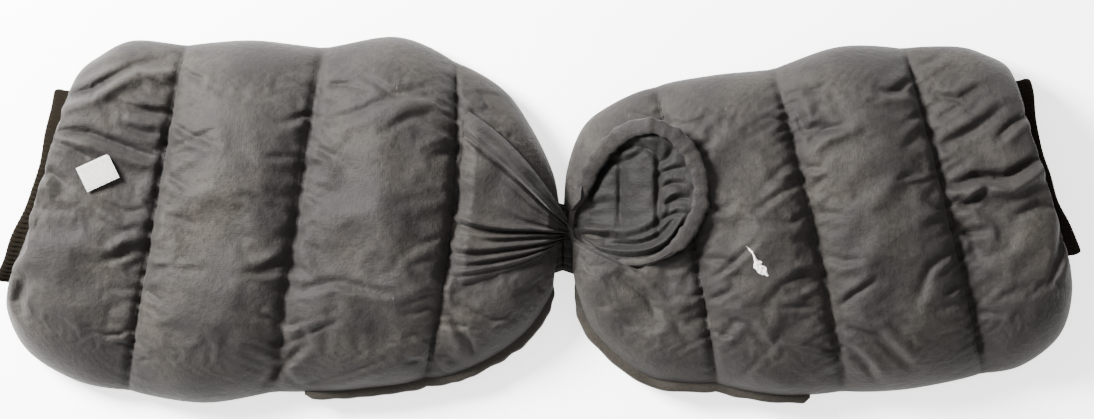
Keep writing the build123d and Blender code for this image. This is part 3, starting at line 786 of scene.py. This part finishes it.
def makeTongue():
    pod = rightPod
    corners = tongueLook["outline"]
    outline = curveThrough(corners + corners[:1], np.linspace(0, len(corners), 700))
    outline = resample(outline, 300, closed=True)
    centre = np.array(tongueLook["centre"])
    rings, n = 90, len(outline)
    r = np.linspace(0.02, 1, rings)[:, None]
    u = centre[0] + (outline[:, 0] - centre[0]) * r
    v = centre[1] + (outline[:, 1] - centre[1]) * r
    z = tongueHeight(u, v) - tongueLook["dish"] * (1 - r**3)
    z += 2.2 * np.clip(1 - ((u - 0.22 * v - 47) / 11) ** 2, 0, 1) * (1 - r**4)  # padding between the rows
    for points, depth, width, lip in tongueFolds:
        points = curveThrough(points, np.linspace(0, len(points) - 1, 4 * len(points) - 3))
        z += crease(u, v, points, depth, width, lip) * (1 - 0.6 * r**6)
    z += 0.45 * softField(u, v, 11, 91)
    z -= 1.6 * np.exp(-((r - 0.885) / 0.014) ** 2)  # the row that sews the edge down
    under = z - tongueLook["thick"] * (1 - r**3)
    verts = np.vstack([toRow(pod, u, v, z).reshape(-1, 3), toRow(pod, u, v, under).reshape(-1, 3)])
    total = rings * n
    faces = gridFaces(rings, n, wrap=True, flip=True) + gridFaces(rings, n, offset=total, wrap=True)
    faces.append(tuple(range(n)))
    faces.append(tuple(total + j for j in range(n - 1, -1, -1)))
    for j in range(n):
        k = (j + 1) % n
        a, b = (rings - 1) * n + j, (rings - 1) * n + k
        faces.append((a, b, total + b, total + a))
    pad = newMesh("tongue_quilt", verts, faces, darkNylonPaintedShade)
    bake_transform(pad)
    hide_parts("tongue_cover", "tongue_padding", "tongue_backing")
    slim = 0.45 + 0.55 * smooth((outline[:, 0] - 2) / 20)  # the edge is drawn in at the knot
    low = smooth((-12 - outline[:, 1]) / 12) * smooth((70 - outline[:, 0]) / 18)  # gathers hide it here
    roll = smooth((outline[:, 1] - 0.9 * outline[:, 0] + 18) / 22) * smooth((outline[:, 0] - 4) / 12)
    slim *= (1 - 0.35 * low) * (1 + 0.25 * roll)
    rimZ = tongueHeight(outline[:, 0], outline[:, 1]) + 0.9 * slim - 2.6 * low + 1.6 * roll
    pathAt, roundAt = np.meshgrid(np.linspace(0, 300, n), np.linspace(0, 12, 20), indexing="ij")
    ripple = 1 + 0.10 * softField(pathAt, roundAt, 7, 95)
    ripple += 0.07 * softField(pathAt + 0.6 * roundAt, 0 * pathAt, 19, 96)
    ripple *= (slim * (1 + 0.25 * smooth((outline[:, 0] - 55) / 20)))[:, None]
    inner = centre + (outline - centre) * 0.965
    rim = tube("tongue_bound_rim", toRow(pod, inner[:, 0], inner[:, 1], rimZ), tongueLook["rim"] * mm,
               tongueLook["rimHigh"] * mm, nylon, closed=True, ripple=ripple)
    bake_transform(rim)
    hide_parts("tongue_binding")


# lift: how much higher the cloth gets at its left and right end; the right one lies under the tongue
neckLook = {"reach": 17.0, "half": 19.0, "flare": 5.5, "high": 9.5, "lift": (4.0, 0.3), "middle": 13.5,
            "pleats": 9, "drop": 2.5}


def makeNeck():
    # the gathered cloth between the muffs, held in by the elastic keeper
    n, turns = 90, 180
    along = np.linspace(-neckLook["reach"], neckLook["reach"], n)
    angle = np.linspace(0, 2 * math.pi, turns, endpoint=False)
    flare = np.abs(along) / neckLook["reach"]
    half = (neckLook["half"] + neckLook["flare"] * flare)[:, None]
    high = (neckLook["high"] + np.where(along < 0, *neckLook["lift"]) * flare**1.5)[:, None]
    sway = softField(angle[None, :] * 14 + 0 * flare[:, None], along[:, None] * 0.5, 22, 33)
    phase = angle[None, :] * neckLook["pleats"] + 0.9 * sway
    folds = 1.06 - 0.17 * (1 - np.abs(np.cos(phase)) ** 0.7)
    y = waistAt[1] + waistMiddle - neckLook["drop"] + half * np.cos(angle)[None, :] * folds
    z = np.maximum(neckLook["middle"] + high * np.sin(angle)[None, :] * folds, 0.4)
    x = waistAt[0] + along[:, None] + 0 * y
    grid = np.stack([x, y, z], -1) * mm
    for name, rows, sign in (("neck_left", slice(0, n // 2 + 1), -1), ("neck_right", slice(n // 2, n), 1)):
        part = grid[rows]
        faces = gridFaces(len(part), turns, wrap=True)
        faces.append(tuple(range(turns - 1, -1, -1)))
        faces.append(tuple((len(part) - 1) * turns + j for j in range(turns)))
        # painted shade: the gathered neck is drawn in the darker nylon
        piece = newMesh(name, part.reshape(-1, 3), faces, darkNylonPaintedShade)
        if sign < 0:
            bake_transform(piece)
            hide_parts("strap_neck")
        else:
            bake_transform(piece)


keeperLook = {"half": 18.4, "high": 9.4, "middle": 13.0, "width": 3.2, "thick": 1.6, "ribs": 44}


def makeKeeper():
    angle = np.linspace(0, 2 * math.pi, 120, endpoint=False)
    y = waistAt[1] + waistMiddle - neckLook["drop"] + keeperLook["half"] * np.cos(angle)
    z = keeperLook["middle"] + keeperLook["high"] * np.sin(angle)
    path = np.stack([0 * angle + waistAt[0], y, z], -1)
    ripple = 1 + 0.10 * np.cos(angle * keeperLook["ribs"])[:, None] * np.ones((1, 20))
    keeper = tube("waist_keeper_rib", path * mm, keeperLook["width"] * mm, keeperLook["thick"] * mm,
                  ribElastic, closed=True, ripple=ripple, up=(1, 0, 0))
    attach(keeper, "waist")
    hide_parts("waist_keeper_loop")


patchThick = {"right_loop_patch": 1.2, "tongue_hook_patch": 1.4}


def makePatches():
    # the loop patch on the muff and the hook patch under the tongue lie on the cloth as it is here
    pod = rightPod
    lean = math.radians(pod["lean"])
    corners = np.array(tongueLook["outline"]) - tongueLook["centre"]
    around = np.arctan2(corners[:, 1], corners[:, 0])
    order = np.argsort(around)
    for name, body in (("right_loop_patch", "right_pod"), ("tongue_hook_patch", "tongue")):
        node = frame["nodes"][name]
        points = np.array([node.matrix_world @ p.co for p in node.data.vertices]) / mm
        x, y = points[:, 0] - waistAt[0], points[:, 1] - waistAt[1]
        along, across = x * math.cos(lean) + y * math.sin(lean), y * math.cos(lean) - x * math.sin(lean)
        u, v = (np.linspace(side.min(), side.max(), 50) for side in (along, across))
        u, v = np.meshgrid(u, v, indexing="ij")
        if body == "right_pod":
            under = padTop(pod, *nearestParam(pod, u, v), u, v) - 0.4
        else:
            du, dv = u - tongueLook["centre"][0], v - tongueLook["centre"][1]
            reach = np.interp(np.arctan2(dv, du), around[order], np.hypot(*corners[order].T),
                              period=2 * math.pi)
            r = np.clip(np.hypot(du, dv) / reach, 0, 1)
            under = tongueHeight(u, v) - tongueLook["dish"] * (1 - r**3) - tongueLook["thick"] - 1.2
        top = toRow(pod, u, v, under + patchThick[name])
        patch = closedPad(name + "_pile", top, toRow(pod, u, v, under), gripTape, True)
        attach(patch, body)
        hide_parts(name)


makeStrap()
makeTongue()
makePatches()
makeNeck()
makeKeeper()
print("strap, tongue and waist made")

tagLook = {"at": (277.0, -9.0), "side": (20.5, 15.5), "turn": -33.5}


def makeTag():
    pod = leftPod
    n = 30
    a, b = np.meshgrid(np.linspace(-1, 1, n), np.linspace(-1, 1, n), indexing="ij")
    turn = math.radians(tagLook["turn"])
    a, b = a * tagLook["side"][0] / 2, b * tagLook["side"][1] / 2
    u = tagLook["at"][0] + a * math.cos(turn) - b * math.sin(turn)
    v = tagLook["at"][1] + a * math.sin(turn) + b * math.cos(turn)
    a, b = a * 2 / tagLook["side"][0], b * 2 / tagLook["side"][1]
    edge = (1 - a**16) * (1 - b**16)
    s, t = nearestParam(pod, u, v)
    below = padTop(pod, s, t, u, v)
    plane = np.stack([u.ravel(), v.ravel(), np.ones(u.size)], 1)
    slope = np.linalg.lstsq(plane, below.ravel(), rcond=None)[0]
    flat = slope[0] * u + slope[1] * v + slope[2]
    z = flat + 0.8 * (below - flat).max() + 0.2 + 0.5 * edge**0.5
    under = z - 0.9 * edge**0.3 - 0.5
    tag = closedPad("label_patch_blank", toRow(pod, u, v, z), toRow(pod, u, v, under), patchRubber, True)
    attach(tag, "left_pod")
    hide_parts("label_tag")


tearLook = {"from": (102.0, -32.0), "to": (113.0, -55.0), "widest": 7.0}


def makeTear():
    # a short tear in the cover with wadding showing through
    pod = rightPod
    n, m = 60, 24
    a, b = np.meshgrid(np.linspace(0, 1, n), np.linspace(-1, 1, m), indexing="ij")
    first, last = np.array(tearLook["from"]), np.array(tearLook["to"])
    along = (last - first) / np.linalg.norm(last - first)
    width = tearLook["widest"] * (0.16 + 0.84 * np.exp(-((a - 0.72) / 0.2) ** 2)) * np.sin(math.pi * a) ** 0.6
    width = width * (1 + 0.25 * softField(a * 30, 0 * a, 6, 51)) / 2
    u = first[0] + (last - first)[0] * a - along[1] * b * width + 1.2 * np.sin(a * 7)
    v = first[1] + (last - first)[1] * a + along[0] * b * width
    s, t = nearestParam(pod, u, v)
    z = padTop(pod, s, t, u, v) + 0.9 * (1 - b**2) * np.sin(math.pi * a) + 0.25 * softField(u, v, 2.5, 52)
    tuft = closedPad("torn_spot_wadding", toRow(pod, u, v, z), toRow(pod, u, v, z - 2.5), wadding, True)
    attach(tuft, "right_pod")


makeTag()
makeTear()
for name, node in frame["nodes"].items():  # the CAD tapes and webbing stay as they are
    if not node.hide_render:
        node.data.materials.clear()
        node.data.materials.append(gripTape if "tape" in name else webTape)
print("tag, tear and tapes finished")

stageLook = {"floor": "#fbfbfa", "world": 1.2, "key": 136.0, "fill": 6.0, "glow": 1.9}


def makeStage():
    floor = bpy.data.objects.new("floor", bpy.data.meshes.new("floor"))
    floor.data.from_pydata([(-4, -4, 0), (4, -4, 0), (4, 4, 0), (-4, 4, 0)], [], [(0, 1, 2, 3)])
    floor.location.z = -0.0004
    material, tree, shader = startMaterial("matteBoard", stageLook["floor"], 0.9)
    grain = addNode(tree, "ShaderNodeTexNoise", {"Scale": 40.0})
    shade = addNode(tree, "ShaderNodeMix", {"data_type": "RGBA", 6: linear(stageLook["floor"]),
                                            7: linear("#f7f7f6")}, {0: grain.outputs[0]})
    tree.links.new(shade.outputs[2], shader.inputs["Base Color"])
    shader.inputs["Emission Color"].default_value = linear(stageLook["floor"])  # the board is lit from below
    shader.inputs["Emission Strength"].default_value = stageLook["glow"]
    floor.data.materials.append(material)
    bpy.context.scene.collection.objects.link(floor)
    world = bpy.data.worlds.new("studio")
    world.use_nodes = True
    world.node_tree.nodes["Background"].inputs[0].default_value = (1, 1, 1, 1)
    world.node_tree.nodes["Background"].inputs[1].default_value = stageLook["world"]
    bpy.context.scene.world = world
    for name, place, size, power in (("key", (-0.85, 0.5, 0.75), 0.4, stageLook["key"]),
                                     ("fill", (0.9, -0.9, 1.3), 1.2, stageLook["fill"])):
        lamp = bpy.data.objects.new(name, bpy.data.lights.new(name, "AREA"))
        lamp.data.size, lamp.data.energy = size, power
        lamp.location = place
        lamp.rotation_euler = (Vector((0, 0, 0)) - Vector(place)).to_track_quat("-Z", "Y").to_euler()
        bpy.context.scene.collection.objects.link(lamp)


def makeCamera():
    low, high = cadBox
    wide = (high[0] - low[0]) * 1.0165  # the pair nearly fills the frame
    distance = 1.7
    camera = bpy.data.objects.new("camera", bpy.data.cameras.new("camera"))
    camera.data.sensor_width = 36.0
    camera.data.lens = 36.0 * distance / wide
    camera.location = (0.0052, 0.0052, distance + 0.025)
    bpy.context.scene.collection.objects.link(camera)
    bpy.context.scene.camera = camera


makeStage()
makeCamera()
print("stage made")
